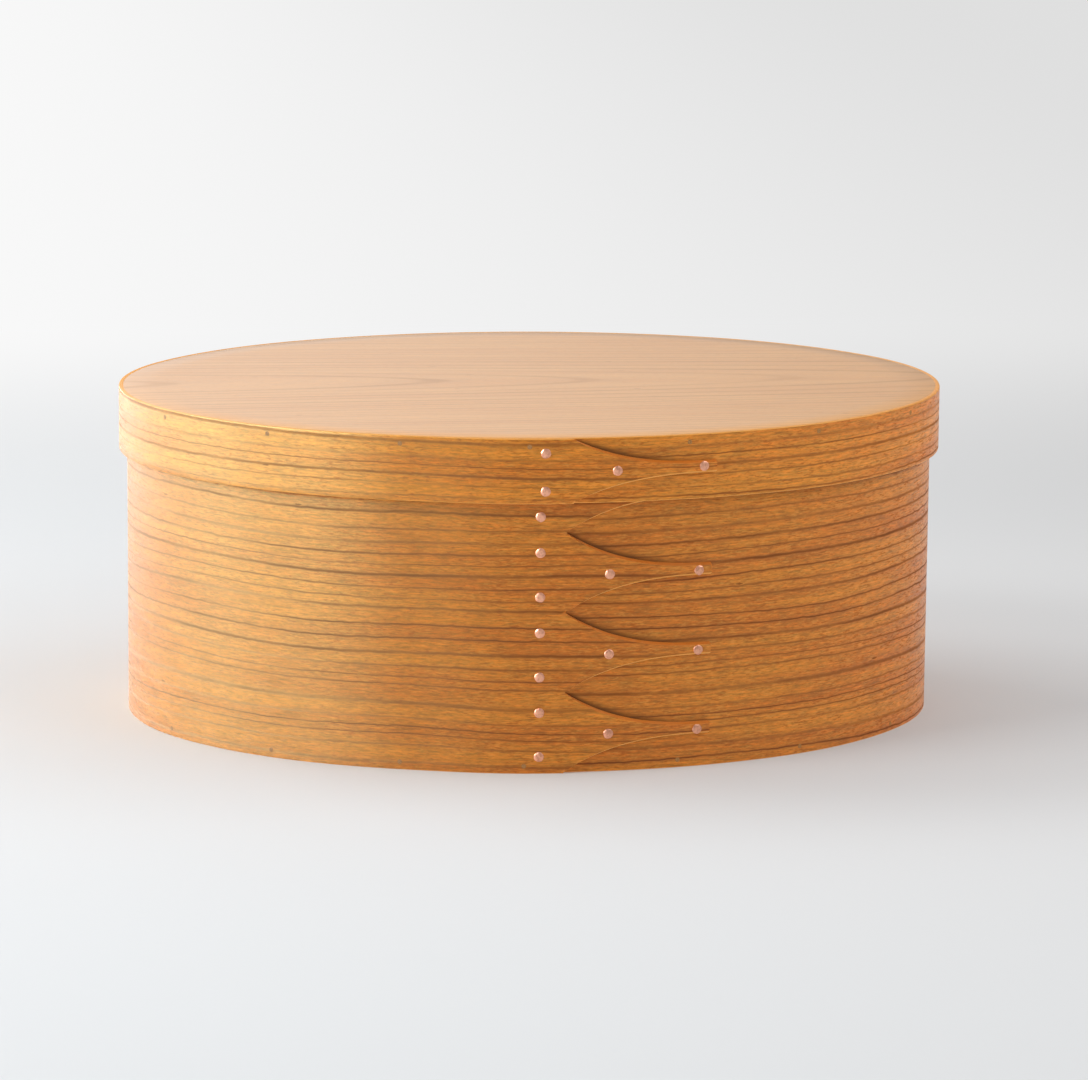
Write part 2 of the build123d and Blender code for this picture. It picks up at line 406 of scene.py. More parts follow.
    def strip_section(self, run: np.ndarray) -> Arrays:
        """Gives the strip's closed section at each run: up its face, over, down and under.

        Args:
            run: Runs of the stations.

        Returns:
            Depths and heights, with the stations first and the points round the section last.
        """
        inner, outer = self.faces_at(run)
        roots = self.roots
        face = roots[:-1, None] + self.face_shares[None, :-1] * np.diff(roots)[:, None]
        face = np.concatenate((face.ravel(), roots[-1:]))
        stations = np.ones((run.size, 1))
        top_depths, top_heights = self.rim(inner, outer, self.top, 1)
        low_depths, low_heights = self.rim(inner, outer, self.bottom, -1)
        outside, inside = outer[:, None] + 0 * face, inner[:, None] + 0 * face
        depths = (outside, top_depths, inside, low_depths[:, ::-1])
        heights = (stations * face, top_heights, stations * face[::-1], low_heights[:, ::-1])
        return np.concatenate(depths, axis=1), np.concatenate(heights, axis=1)

    def rim_mask(self) -> np.ndarray:
        """Marks the rims of the strip's section with minus one, and its faces with zero.

        Returns:
            One number for each point round the section.
        """
        rim = np.full(2 * self.round_points, -1.0)
        rim[0] = rim[-1] = 0.0
        face = np.zeros(self.finger_count * self.finger_columns + 1)
        return np.concatenate((face, rim, face, rim))

    def finger_side(self, foot: np.ndarray, crown: np.ndarray, side: int) -> Arrays:
        """Gives a finger's bevelled side, from its face down to its foot.

        The corner at the crown is a parabola: its start, its corner and its end, weighted
        by the squares of what is left and what is passed. A straight bevel follows.

        Args:
            foot: Heights of the foot, one for each station.
            crown: Heights of the crown.
            side: 1 for the upper side and -1 for the lower.

        Returns:
            Depths and heights, with the stations first.
        """
        slant = np.abs(foot - crown)
        ease = self.crown_round * np.minimum(slant / self.bevel, 1.0)
        passed = np.linspace(0.0, 1.0, self.round_points)[None, :]
        weights = ((1 - passed) ** 2, 2 * passed * (1 - passed), passed**2)
        corners = (crown - side * ease, crown, crown + side * slant * (ease / self.thickness))
        heights = sum(corner[:, None] * weight for corner, weight in zip(corners, weights))
        depths = self.stack - self.sanding - (ease[:, None] * weights[2]) + 0 * heights
        foot_depths = np.full((foot.size, 1), self.lap_rise)
        heights = np.concatenate((heights, foot[:, None]), axis=1)
        return np.concatenate((depths, foot_depths), axis=1), heights

    def add_finger(self, maker: MeshMaker, number: int) -> None:
        """Adds one finger and its closed tip.

        Half its height falls from half the root's to the tip's, by a power of the length
        that is left. The bevel widens quickly from nothing at the root.

        Args:
            maker: The mesh to add to.
            number: The finger, counted from the lowest.
        """
        low, high = self.roots[number], self.roots[number + 1]
        share = np.linspace(0.0, 1.0, self.finger_stations)
        left = 1 - share
        tip = self.tip_height / 2
        foot = tip + ((high - low) / 2 - tip) * left**self.curve_power
        crown = foot - self.bevel * (1 - left**self.bevel_growth_power)
        middle = (low + high) / 2 - self.droop * share
        up_depths, up_heights = self.finger_side(middle + foot, middle + crown, 1)
        low_depths, low_heights = self.finger_side(middle - foot, middle - crown, -1)
        columns = self.face_shares[None, 1:-1]
        base = low_heights[:, :1]
        face = base + (up_heights[:, :1] - base) * columns
        under = (middle + foot)[:, None] - 2 * foot[:, None] * columns
        outside, inside = 0 * face + self.stack - self.sanding, 0 * under + self.lap_rise
        depths = np.concatenate((outside, up_depths, inside, low_depths[:, ::-1]), axis=1)
        heights = np.concatenate((face, up_heights, under, low_heights[:, ::-1]), axis=1)
        run = self.oval.way_round + self.root_run + share * self.finger_length
        points, places = self.on_band(run[:, None], depths, heights)
        on_side = np.concatenate((np.zeros(1), np.ones(up_depths.shape[1] - 1)))
        on_face = 0 * columns[0]
        maker.grid(points, places, np.concatenate((on_face, on_side, on_face + 1, on_side[::-1])))
        maker.cap(points[-1], places[-1], np.ones(1))

    def add_margin(self, maker: MeshMaker, side: int) -> None:
        """Closes the strip's end between its rim and the outermost finger's root.

        Args:
            maker: The mesh to add to.
            side: 1 for the upper rim and -1 for the lower.
        """
        end = np.array((self.oval.way_round + self.root_run,))
        inner, outer = self.faces_at(end)
        edge, root = (self.top, self.roots[-1]) if side > 0 else (self.bottom, self.roots[0])
        depths, heights = self.rim(inner, outer, edge, side)
        rounded = np.stack((depths[0], heights[0]), axis=-1)
        loop = np.concatenate((((outer[0], root),), rounded, ((inner[0], root),)))
        points, places = self.on_band(end, loop[:, 0], loop[:, 1])
        maker.cap(points, places, np.ones(1))

    def build(self) -> Object:
        """Builds the whole band as one closed mesh.

        Returns:
            The band's object.
        """
        maker = MeshMaker()
        start = self.climb_end_run - self.climb_length * (1 - self.feather_share)
        end = self.oval.way_round + self.root_run
        run = np.linspace(start, end, round((end - start) / self.station_step))
        points, places = self.on_band(run[:, None], *self.strip_section(run))
        maker.grid(points, places, self.rim_mask())
        maker.cap(points[0], places[0])
        for number in range(self.finger_count):
            self.add_finger(maker, number)
        for side in (1, -1):
            self.add_margin(maker, side)
        return maker.build(self.node, "bent", self.body, "band_wood", self.sharp_angle)

    def seats(self, run: np.ndarray, height: np.ndarray, depth: np.ndarray) -> np.ndarray:
        """Gives the frames of places on the band.

        Args:
            run: Runs of the places.
            height: Their heights.
            depth: Their depths.

        Returns:
            One 3 by 4 matrix for each place: columns along the band, up, outwards and the
            place itself.
        """
        flat, normal = self.oval.place(run, depth)
        zero, one = np.zeros(len(run)), np.ones(len(run))
        outwards = np.stack((normal[:, 0], normal[:, 1], zero), axis=-1)
        along = np.stack((-normal[:, 1], normal[:, 0], zero), axis=-1)
        upwards = np.stack((zero, zero, one), axis=-1)
        origin = np.stack((flat[:, 0], flat[:, 1], height), axis=-1)
        return np.stack((along, upwards, outwards, origin), axis=-1)


@dataclass
class Board:
    """A flat oval board in a band, eased on its hidden side and sanded flush on the other."""

    node: str
    body: str
    band: Band
    fit: float = 0.01 * MM
    ease: float = 0.3 * MM
    flush_ease: float = 0.03 * MM
    stations: int = 360
    inner_rings: Series = (0.0, 0.25, 0.5, 0.75, 0.92)
    round_points: int = 4
    sharp_angle: float = math.radians(38.0)

    def build(self) -> Object:
        """Builds the board as a profile carried round the oval.

        The profile goes from the middle of the top round the edge to the middle of the
        underside. Its corners are quarter circles. Towards the middle the ring shrinks evenly.

        Returns:
            The board's object.
        """
        low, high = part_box(self.node)
        oval = self.band.oval
        run = np.arange(self.stations) / self.stations * oval.way_round
        angle = np.linspace(0.0, math.pi / 2, self.round_points)
        drop, rise = 1 - np.cos(angle), 1 - np.sin(angle)
        upper, lower = self.ease, self.flush_ease
        if self.band.flush_side > 0:
            upper, lower = lower, upper
        inwards = np.concatenate((upper * rise, lower * drop))
        heights = np.concatenate((high.z - upper * drop, low.z + lower * rise))
        flat, _ = oval.place(run[None, :], -self.fit - inwards[:, None])
        middle = np.array((0.0, oval.centre_y))
        shares = np.array(self.inner_rings)[:, None, None]
        top = middle + (flat[:1] - middle) * shares
        under = middle + (flat[-1:] - middle) * shares[::-1]
        steps = np.concatenate((np.full(len(shares), high.z), heights, np.full(len(shares), low.z)))
        points = with_heights(np.concatenate((top, flat, under)), steps)
        maker = MeshMaker()
        maker.grid(points, points)
        return maker.build(self.node, "planed", self.body, "board_wood", self.sharp_angle)


@dataclass
class Tacks:
    """The copper tacks of one finger: hammered heads outside and clinched points inside.

    The shank's rings are given by how far they have turned, how far they lie along the
    clinched length, and how wide and thick they are.
    """

    node: str
    body: str
    band: Band
    places: np.ndarray
    seed: int
    head_radius: float = 2.05 * MM
    head_height: float = 0.4 * MM
    head_shares: Series = (0.0, 0.2, 0.4, 0.58, 0.74, 0.86, 0.94, 0.985, 1.0)
    trim: float = 0.965
    lobes: tuple[int, ...] = (3, 4, 5, 6)
    lobe_depth: Pair = (0.006, 0.016)
    rim_share: float = 0.3
    rim_sag: float = 0.05 * MM
    tilt: float = 0.06
    tilt_share: float = 0.5
    mark_depths: Pair = (0.035 * MM, 0.03 * MM)
    mark_waves: Pair = (900, 1900)
    mark_phase: float = 6.0
    shank_width: float = 1.1 * MM
    shank_turn: Series = (0.0, 0.0, 0.0, 0.25, 0.5, 0.75, 1.0, 1.0)
    shank_along: Series = (0.0, 0.0, 0.0, 0.05, 0.15, 0.3, 0.55, 1.0)
    shank_wide: Series = (1.0, 1.0, 1.0, 0.95, 0.9, 0.8, 0.6, 0.15)
    shank_thick: Series = (1.0, 1.0, 1.0, 0.9, 0.7, 0.5, 0.3, 0.1)
    clinch_length: float = 3.2 * MM
    clinch_proud: float = 0.12 * MM
    bedding: float = 0.05 * MM
    around: int = 28
    sharp_angle: float = math.radians(55.0)

    def head(self, rng: np.random.Generator) -> np.ndarray:
        """Shapes one head as rings round its axis, from the crown to the underside.

        Its outline is a circle plus slow waves of three to six lobes. Its height falls
        towards the edge by the fourth power of the share of the radius, and a few shallow
        hammer marks tilt it: waves of the flat coordinates.

        Args:
            rng: The random numbers of this tack.

        Returns:
            Rings, points round them, and coordinates along, up and outwards.
        """
        turn = np.linspace(0.0, 2 * math.pi, self.around, endpoint=False)
        lobes = np.array(self.lobes)[:, None]
        depth = rng.uniform(*self.lobe_depth, lobes.shape)
        waves = depth * np.cos(lobes * turn + rng.uniform(0, 2 * math.pi, lobes.shape))
        outline = self.head_radius * (self.trim + waves.sum(axis=0))
        shares = np.array(self.head_shares)[:, None]
        flat = shares[..., None] * outline[None, :, None] * unit(turn)[None]
        tilt = rng.uniform(-self.tilt, self.tilt, 2)
        first = flat @ rng.uniform(*self.mark_waves, 2) + rng.uniform(0, self.mark_phase)
        cross = flat @ np.array((1, -1)) * rng.uniform(*self.mark_waves)
        second = cross + rng.uniform(0, self.mark_phase)
        marks = self.mark_depths[0] * np.sin(first) + self.mark_depths[1] * np.sin(second)
        dome = self.head_height * (self.rim_share + (1 - self.rim_share) * (1 - shares**4))
        dome = dome - self.rim_sag * shares**2
        height = dome + (marks + flat @ tilt * self.tilt_share) * (1 - shares**3)
        top = np.concatenate((flat, np.minimum(height, self.head_height)[..., None]), axis=-1)
        under = top[::-4].copy()
        under[..., 2] = -self.bedding
        return np.concatenate((top, under))

    def shank(self) -> np.ndarray:
        """Shapes the square shank and its clinched point, as square rings along its path.

        The path goes straight in through both layers, turns along the band at the inner
        face, and its section narrows to the point.

        Returns:
            Rings, their four corners, and coordinates along, up and outwards.
        """
        half = self.shank_width / 2
        turn = np.array(self.shank_turn)[:, None] * math.pi / 2
        along = np.array(self.shank_along)[:, None] * self.clinch_length
        rises = np.array((2 * half, half, half - self.clinch_proud, 0.0, 0.0, 0.0))
        out = np.concatenate(((self.bedding, -self.band.stack / 2), -self.band.stack + rises))
        corners = np.array(((1, 1), (-1, 1), (-1, -1), (1, -1)))
        across = np.array(self.shank_thick)[:, None] * half * corners[:, 0]
        x = along + across * np.cos(turn)
        y = np.array(self.shank_wide)[:, None] * half * corners[:, 1]
        return np.stack((x, y, out[:, None] + across * np.sin(turn)), axis=-1)

    def build(self) -> Object:
        """Builds the tacks of the finger as one piece.

        Returns:
            The tacks' object.
        """
        rng = np.random.default_rng(self.seed)
        run, height = self.places.T
        maker = MeshMaker()
        for seat in self.band.seats(run, height, np.full(len(run), self.band.stack)):
            head, shank = self.head(rng), self.shank()
            for form, capped_rings in ((head, (-1,)), (shank, (0, -1))):
                points = form @ seat[:, :3].T + seat[:, 3]
                maker.grid(points, form)
                for ring in capped_rings:
                    maker.cap(points[ring], form[ring])
        return maker.build(self.node, "hammered", self.body, "copper", self.sharp_angle)


@dataclass
class Pegs:
    """The wooden pegs round a band, which end a hair proud of its sanded face.

    A peg's profile goes from the middle of its outer end, over the eased edge and down the
    side to the inner end, with the edge mask strongest at the edge.
    """

    node: str
    body: str
    band: Band
    front_shares: Series
    height: float
    count: int = 16
    radius: float = 0.95 * MM
    length: float = 12.0 * MM
    ease: float = 0.03 * MM
    reach: Series = (0.0, 0.5, 0.85, 0.97, 1.0, 1.0, 0.0)
    edge: Series = (0.0, 0.0, 0.0, 0.6, 1.0, 1.0, 0.0)
    edge_start: float = 0.1
    grain_step: Triple = (0.01, 0.02, 0.0)
    around: int = 20
    sharp_angle: float = math.radians(50.0)

    def runs(self) -> np.ndarray:
        """Spaces the pegs: those along the front as given, and the rest evenly.

        Returns:
            One run for each peg.
        """
        front = np.array(self.front_shares)
        step = (1 + front[0] - front[-1]) / (self.count - len(front) + 1)
        rest = front[-1] + step * np.arange(1, self.count - len(front) + 1)
        return np.concatenate((front, rest)) * self.band.oval.way_round

    def build(self) -> Object:
        """Builds the pegs: the profile turned round each peg's axis.

        Returns:
            The pegs' object.
        """
        run, whole = self.runs(), self.band.oval.way_round
        from_front = np.where(run > whole / 2, run - whole, run)
        rise = np.where(from_front < 0, self.band.climb(from_front), 0.0)
        seats = self.band.seats(run, np.full(run.size, self.height), self.band.thickness + rise)
        turn = np.linspace(0.0, 2 * math.pi, self.around, endpoint=False)
        flat = (self.radius * np.array(self.reach))[:, None, None] * unit(turn)[None]
        out = (0.0, 0.0, 0.0, -self.edge_start * self.ease, -self.ease, -self.length, -self.length)
        form = with_heights(flat, np.array(out))
        maker = MeshMaker()
        for number, seat in enumerate(seats):
            places = form + np.array(self.grain_step) * number
            maker.grid(form @ seat[:, :3].T + seat[:, 3], places, np.array(self.edge)[:, None])
        return maker.build(self.node, "whittled", self.body, "peg_wood", self.sharp_angle)


class Signal:
    """A value that changes over a surface: a node's output that takes part in sums.

    Each arithmetic sign adds a Math node. Most is the larger of two values and least the
    smaller.
    """

    def __init__(self, nodes: "Nodes", socket: NodeSocket) -> None:
        """Takes the output and the nodes that it is one of."""
        self.nodes, self.socket = nodes, socket

    def apply(self, operation: str, *others: object) -> "Signal":
        """Adds a Math node that reads this value and then the others."""
        return self.nodes.math(operation, self, *others)

    __add__ = partialmethod(apply, "ADD")
    __sub__ = partialmethod(apply, "SUBTRACT")
    __mul__ = partialmethod(apply, "MULTIPLY")
    __truediv__ = partialmethod(apply, "DIVIDE")
    __pow__ = partialmethod(apply, "POWER")
    most = partialmethod(apply, "MAXIMUM")
    least = partialmethod(apply, "MINIMUM")

    def __rsub__(self, other: object) -> "Signal":
        """Is taken away from a number."""
        return self.nodes.math("SUBTRACT", other, self)

    def clamped(self) -> "Signal":
        """Holds the sum that was added last between 0 and 1."""
        self.socket.node.use_clamp = True
        return self

    def ease(self, start: float, end: float) -> "Signal":
        """Rises in a smooth step from 0 at start to 1 at end."""
        ends = {"Value": self, "From Min": start, "From Max": end}
        return self.nodes.get("ShaderNodeMapRange", ends, "Result", interpolation_type="SMOOTHSTEP")

    def fade(self, start: float, end: float) -> "Signal":
        """Falls in a smooth step from 1 at start to 0 at end."""
        return 1.0 - self.ease(start, end)


class Nodes:
    """Fills a node tree with short calls."""

    def __init__(self, tree: NodeTree) -> None:
        """Takes the tree to fill."""
        self.tree = tree

    def add(self, kind: str, inputs: dict | None = None, **settings: object) -> Node:
        """Adds a node.

        Args:
            kind: The node's type.
            inputs: Values or signals for its inputs, by name or number.
            **settings: The node's own settings.

        Returns:
            The node.
        """
        node = self.tree.nodes.new(kind)
        for name, value in settings.items():
            setattr(node, name, value)
        for name, value in (inputs or {}).items():
            self.feed(node.inputs[name], value)
        return node

    def get(
        self, kind: str, inputs: dict | None = None, output: str | int = 0, **settings: object
    ) -> Signal:
        """Adds a node as add does, and gives the output with that name or number."""
        return Signal(self, self.add(kind, inputs, **settings).outputs[output])

    def outputs(self, node: Node) -> dict[str, Signal]:
        """Gives all the outputs of a node, by name."""
        return {socket.name: Signal(self, socket) for socket in node.outputs}

    def feed(self, socket: NodeSocket, value: object) -> None:
        """Links a signal to an input, or sets the input's own value.

        Args:
            socket: The input.
            value: A signal, or the value itself.
        """
        if isinstance(value, Signal):
            self.tree.links.new(value.socket, socket)
        else:
            socket.default_value = value

    def math(self, operation: str, *values: object) -> Signal:
        """Adds a sum on one or two values."""
        return self.get("ShaderNodeMath", dict(enumerate(values)), operation=operation)

    def vector(self, operation: str, *values: object) -> Signal:
        """Adds a sum on vectors."""
        return self.get("ShaderNodeVectorMath", dict(enumerate(values)), operation=operation)

    def length(self, value: Signal) -> Signal:
        """Gives a vector's length."""
        return self.get("ShaderNodeVectorMath", {0: value}, "Value", operation="LENGTH")

    def parts(self, value: Signal) -> tuple[Signal, ...]:
        """Gives a vector's x, y and z."""
        return tuple(self.outputs(self.add("ShaderNodeSeparateXYZ", {0: value})).values())

    def attribute(self, name: str, output: str) -> Signal:
        """Reads an attribute of the mesh."""
        return self.get("ShaderNodeAttribute", output=output, attribute_name=name)

    def noise(self, place: Signal, size: Triple, detail: float = 2.0, roughness: float = 0.5) -> Signal:
        """Adds a noise from 0 to 1.

        Args:
            place: The vector that it reads, in metres.
            size: The length of its waves on each axis, in metres.
            detail: How many finer waves it adds.
            roughness: The strength of each finer wave.

        Returns:
            The noise.
        """
        scaled = self.vector("MULTIPLY", place, tuple(1 / length for length in size))
        values = {"Vector": scaled, "Scale": 1.0, "Detail": detail, "Roughness": roughness}
        return self.get("ShaderNodeTexNoise", values, "Fac")

    def mix(self, factor: object, first: object, second: object) -> Signal:
        """Adds a mix of two colours.

        Args:
            factor: The share of the second colour.
            first: A colour or a signal.
            second: A colour or a signal.

        Returns:
            The mixed colour.
        """
        node = self.add("ShaderNodeMix", {"Factor": factor}, data_type="RGBA")
        colours = [socket for socket in node.inputs if socket.type == "RGBA"]
        for socket, value in zip(colours, (first, second)):
            self.feed(socket, value if isinstance(value, Signal) else (*value, 1.0))
        return Signal(self, next(socket for socket in node.outputs if socket.type == "RGBA"))

    def blend(self, factor: Signal, first: Signal, second: Signal) -> Signal:
        """Adds a mix of two numbers."""
        return self.get("ShaderNodeMix", {0: factor, 2: first, 3: second})

    def group(self, tree: NodeTree, inputs: dict) -> dict[str, Signal]:
        """Places a node group with its values, and gives its outputs by name."""
        return self.outputs(self.add("ShaderNodeGroup", inputs, node_tree=tree))


class Group(Nodes):
    """A shader node group in the making. It reads a place, and other inputs that are numbers."""

    def __init__(self, name: str, *numbers: str) -> None:
        """Starts the group and makes its inputs.

        Args:
            name: The group's name.
            *numbers: The names of its other inputs.
        """
        super().__init__(bpy.data.node_groups.new(name, "ShaderNodeTree"))
        self._socket("Place", "INPUT", "NodeSocketVector")
        for label in numbers:
            self._socket(label, "INPUT")
        self.given = self.outputs(self.add("NodeGroupInput"))

    def _socket(self, label: str, side: str, kind: str = "NodeSocketFloat") -> None:
        """Gives the group an input or output."""
        self.tree.interface.new_socket(label, in_out=side, socket_type=kind)

    def give(self, outputs: dict[str, Signal]) -> NodeTree:
        """Makes the group's outputs and feeds them.

        Args:
            outputs: What each output gives, by name.

        Returns:
            The finished group.
        """
        for label in outputs:
            self._socket(label, "OUTPUT")
        self.add("NodeGroupOutput", outputs)
        return self.tree


@dataclass(frozen=True)
class GrowthRings:
    """The growth rings of a plank, as a node group.

    The plank's own coordinates are along the grain, across it and through it. Slow waves and
    small tremors move the place across the grain. Its distance from the pith's sloping line,
    over the ring width, plus slow changes of the width, counts the rings. Line is dark within
    a hair of each ring's end, and Halo shades the wood beside it. Both are stronger on some
    rings, and their strength comes and goes along the grain.
    """

    wander_size: Triple = (0.20, 0.055, 0.06)
    tremor_size: Triple = (0.0075, 0.006, 0.02)
    coming_size: Triple = (0.045, 0.004, 0.02)
    fineness: float = 0.6
    uneven_scale: float = 0.37
    uneven_depth: float = 1.7
    ring_strength: Pair = (0.62, 0.38)
    coming_strength: Pair = (1.9, 0.05)
    line_edges: Pair = (0.10 * MM, 0.58 * MM)
    halo_edges: Pair = (0.0, 1.9 * MM)

    def build(self) -> NodeTree:
        """Builds the group.

        Returns:
            The group. It gives Line, Halo and, as Ring, each ring's own tone.
        """
        numbers = ("Pith Across", "Pith Through", "Pith Slope", "Ring Width", "Wander", "Tremor")
        nodes = Group("growth_rings", *numbers)
        given = nodes.given
        place, width = given["Place"], given["Ring Width"]
        slow = (nodes.noise(place, self.wander_size, 1.0) - 0.5) * given["Wander"]
        quick = (nodes.noise(place, self.tremor_size, 2.0, self.fineness) - 0.5) * given["Tremor"]
        x, y, z = nodes.parts(place)
        across = y + (slow + quick) - given["Pith Across"]
        through = x * given["Pith Slope"] + z - given["Pith Through"]
        away = (across**2.0 + through**2.0).apply("SQRT") / width
        values = {"W": away, "Scale": self.uneven_scale, "Detail": 1.0}
        uneven = nodes.get("ShaderNodeTexNoise", values, "Fac", noise_dimensions="1D")
        count = uneven * self.uneven_depth + away
        gap = (0.5 - (count.apply("FRACT") - 0.5).apply("ABSOLUTE")) * width
        luck, tone = (
            nodes.get("ShaderNodeTexWhiteNoise", {"W": ring}, "Value", noise_dimensions="1D")
            for ring in (count.apply("ROUND"), count.apply("FLOOR"))
        )
        coming = nodes.noise(place, self.coming_size, 2.0, self.fineness)
        strength = luck * self.ring_strength[0] + self.ring_strength[1]
        strength = strength * (coming * self.coming_strength[0] + self.coming_strength[1])
        line = (gap.fade(*self.line_edges) * strength).clamped()
        halo = (gap.fade(*self.halo_edges) * strength).clamped()
        return nodes.give({"Line": line, "Halo": halo, "Ring": tone})


@dataclass(frozen=True)
class WoodFibre:
    """What lies between the rings of fine-grained cherry, as a node group.

    Fibre is a sum of noises drawn out along the grain. Dark and Light are its short dashes,
    which gather in some patches. Pith is a rare brown fleck, and Silver a rare pale one: both
    are small ovals at random points. Height joins fibre and dashes for the bump.
    """

    streak_size: Triple = (0.009, 0.0007, 0.0007)
    mottle_size: Triple = (0.0065, 0.0024, 0.003)
    grit_size: Triple = (0.0040, 0.0009, 0.0009)
    shares: Triple = (0.48, 0.18, 0.34)
    dash_size: Triple = (0.0026, 0.00055, 0.0005)
    patch_size: Triple = (0.012, 0.004, 0.01)
    patch_depth: float = 0.20
    dark_edges: Pair = (0.53, 0.72)
    light_edges: Pair = (0.30, 0.48)
    flecks_per_metre: Triple = (13.0, 34.0, 20.0)
    fleck_radii_per_metre: Triple = (560.0, 2300.0, 0.0)
    fleck_edges: Pair = (0.55, 1.1)
    frayed_size: Triple = (0.0009, 0.0006, 0.001)
    frayed_depth: Pair = (1.1, 0.45)
    pith_chance: float = 0.20
    silver_chance: float = 0.09
    dash_height: float = -1.3

    def build(self) -> NodeTree:
        """Builds the group.

        Returns:
            The group. It gives Fibre, Dark, Light, Pith, Silver and Height.
        """
        nodes = Group("wood_fibre")
        place = nodes.given["Place"]
        streak = nodes.noise(place, self.streak_size, 3.0, 0.62)
        mottle = nodes.noise(place, self.mottle_size, 2.0, 0.6)
        grit = nodes.noise(place, self.grit_size, 2.0, 0.65)
        fibre = streak * self.shares[0] + mottle * self.shares[1] + grit * self.shares[2]
        dashes = nodes.noise(place, self.dash_size, 2.0, 0.55)
        patches = (nodes.noise(place, self.patch_size, 1.0) - 0.5) * self.patch_depth
        cell = nodes.vector("MULTIPLY", place, self.flecks_per_metre)
        spots = nodes.outputs(nodes.add("ShaderNodeTexVoronoi", {"Vector": cell, "Scale": 1.0}))
        off = nodes.vector("SUBTRACT", cell, spots["Position"])
        radii = tuple(np.divide(self.fleck_radii_per_metre, self.flecks_per_metre).tolist())
        frayed = nodes.noise(place, self.frayed_size, 2.0, 0.6)
        frayed = frayed * self.frayed_depth[0] + self.frayed_depth[1]
        inside = (nodes.length(nodes.vector("MULTIPLY", off, radii)) * frayed).fade(*self.fleck_edges)
        chance = nodes.get("ShaderNodeSeparateColor", {0: spots["Color"]})
        return nodes.give({
            "Fibre": fibre,
            "Dark": (dashes + patches).ease(*self.dark_edges),
            "Light": (dashes - patches).fade(*self.light_edges),
            "Pith": inside * chance.apply("GREATER_THAN", 1.0 - self.pith_chance),
            "Silver": inside * chance.apply("LESS_THAN", self.silver_chance),
            "Height": dashes * self.dash_height + fibre,
        })


@dataclass(frozen=True)
class PaintedCreaseShade:
    """Painted shade over the fingers of a band, as a node group.

    It darkens the wood where each finger's upper edge would shade the wedge above it, and
    follows the feet of the fingers as the band cuts them. A place of the inner layer is in
    the shade when it is a little over a foot, in the wedge that opens between two fingers.
    The shade is darkest at the foot and fades before the middle of the wedge, and towards
    the tip.
    """

    band: Band
    room_share: float = 0.95
    wide_reach: float = 5.6 * MM
    core_reach: float = 2.2 * MM
    least_reach: float = 0.05 * MM
    wide_edges: Pair = (-0.1, 1.0)
    core_edges: Pair = (0.1, 1.0)
    wide_depth: float = 0.50
    core_depth: float = 0.42
    overlap: float = 0.4 * MM
    root_edges: Pair = (0.0, 0.03)
    fade_edges: Pair = (0.3, 0.95)
    fade_depth: float = 0.75
    tip_edges: Pair = (0.97, 1.0)

    def build(self) -> NodeTree:
        """Builds the group.

        Returns:
            The group. It reads the bare grain place and gives Shade.
        """
        band = self.band
        nodes = Group(f"{band.node}_creases")
        x, y, _ = nodes.parts(nodes.given["Place"])
        low, high = float(band.roots[0]), float(band.roots[-1])
        pitch = (high - low) / band.finger_count
        half, tip = pitch / 2, band.tip_height / 2
        share = (x - band.root_run) / band.finger_length
        foot = (1.0 - share).clamped() ** band.curve_power * (half - tip) + tip
        level = share * band.droop + (y - low)
        over = (level / pitch).apply("FRACT") * pitch - half - foot
        room = (half - foot) * self.room_share
        wide = over / room.least(self.wide_reach).most(self.least_reach)
        core = over / room.least(self.core_reach).most(self.least_reach)
        shade = core.fade(*self.core_edges) * self.core_depth
        shade = shade + wide.fade(*self.wide_edges) * self.wide_depth
        shade = shade * over.apply("GREATER_THAN", -self.overlap) * share.ease(*self.root_edges)
        shade = shade * (1.0 - share.ease(*self.fade_edges) * self.fade_depth)
        return nodes.give({"Shade": shade * share.fade(*self.tip_edges)})


def start_material(name: str) -> tuple[Material, Nodes]:
    """Makes a material with an empty node tree.

    Args:
        name: The material's name.

    Returns:
        The material and its nodes.
    """
    material = bpy.data.materials.new(name)
    material.use_nodes = True
    material.node_tree.nodes.clear()
    return material, Nodes(material.node_tree)


def dress_piece(piece: Object, material: Material, nodes: Nodes, shader: dict) -> None:
    """Ends a material in a Principled shader and gives it to a piece.

    Args:
        piece: The piece to dress.
        material: Its material.
        nodes: The material's nodes.
        shader: The shader's inputs, by name.
    """
    surface = nodes.get("ShaderNodeBsdfPrincipled", shader)
    nodes.add("ShaderNodeOutputMaterial", {"Surface": surface})
    piece.data.materials.append(material)


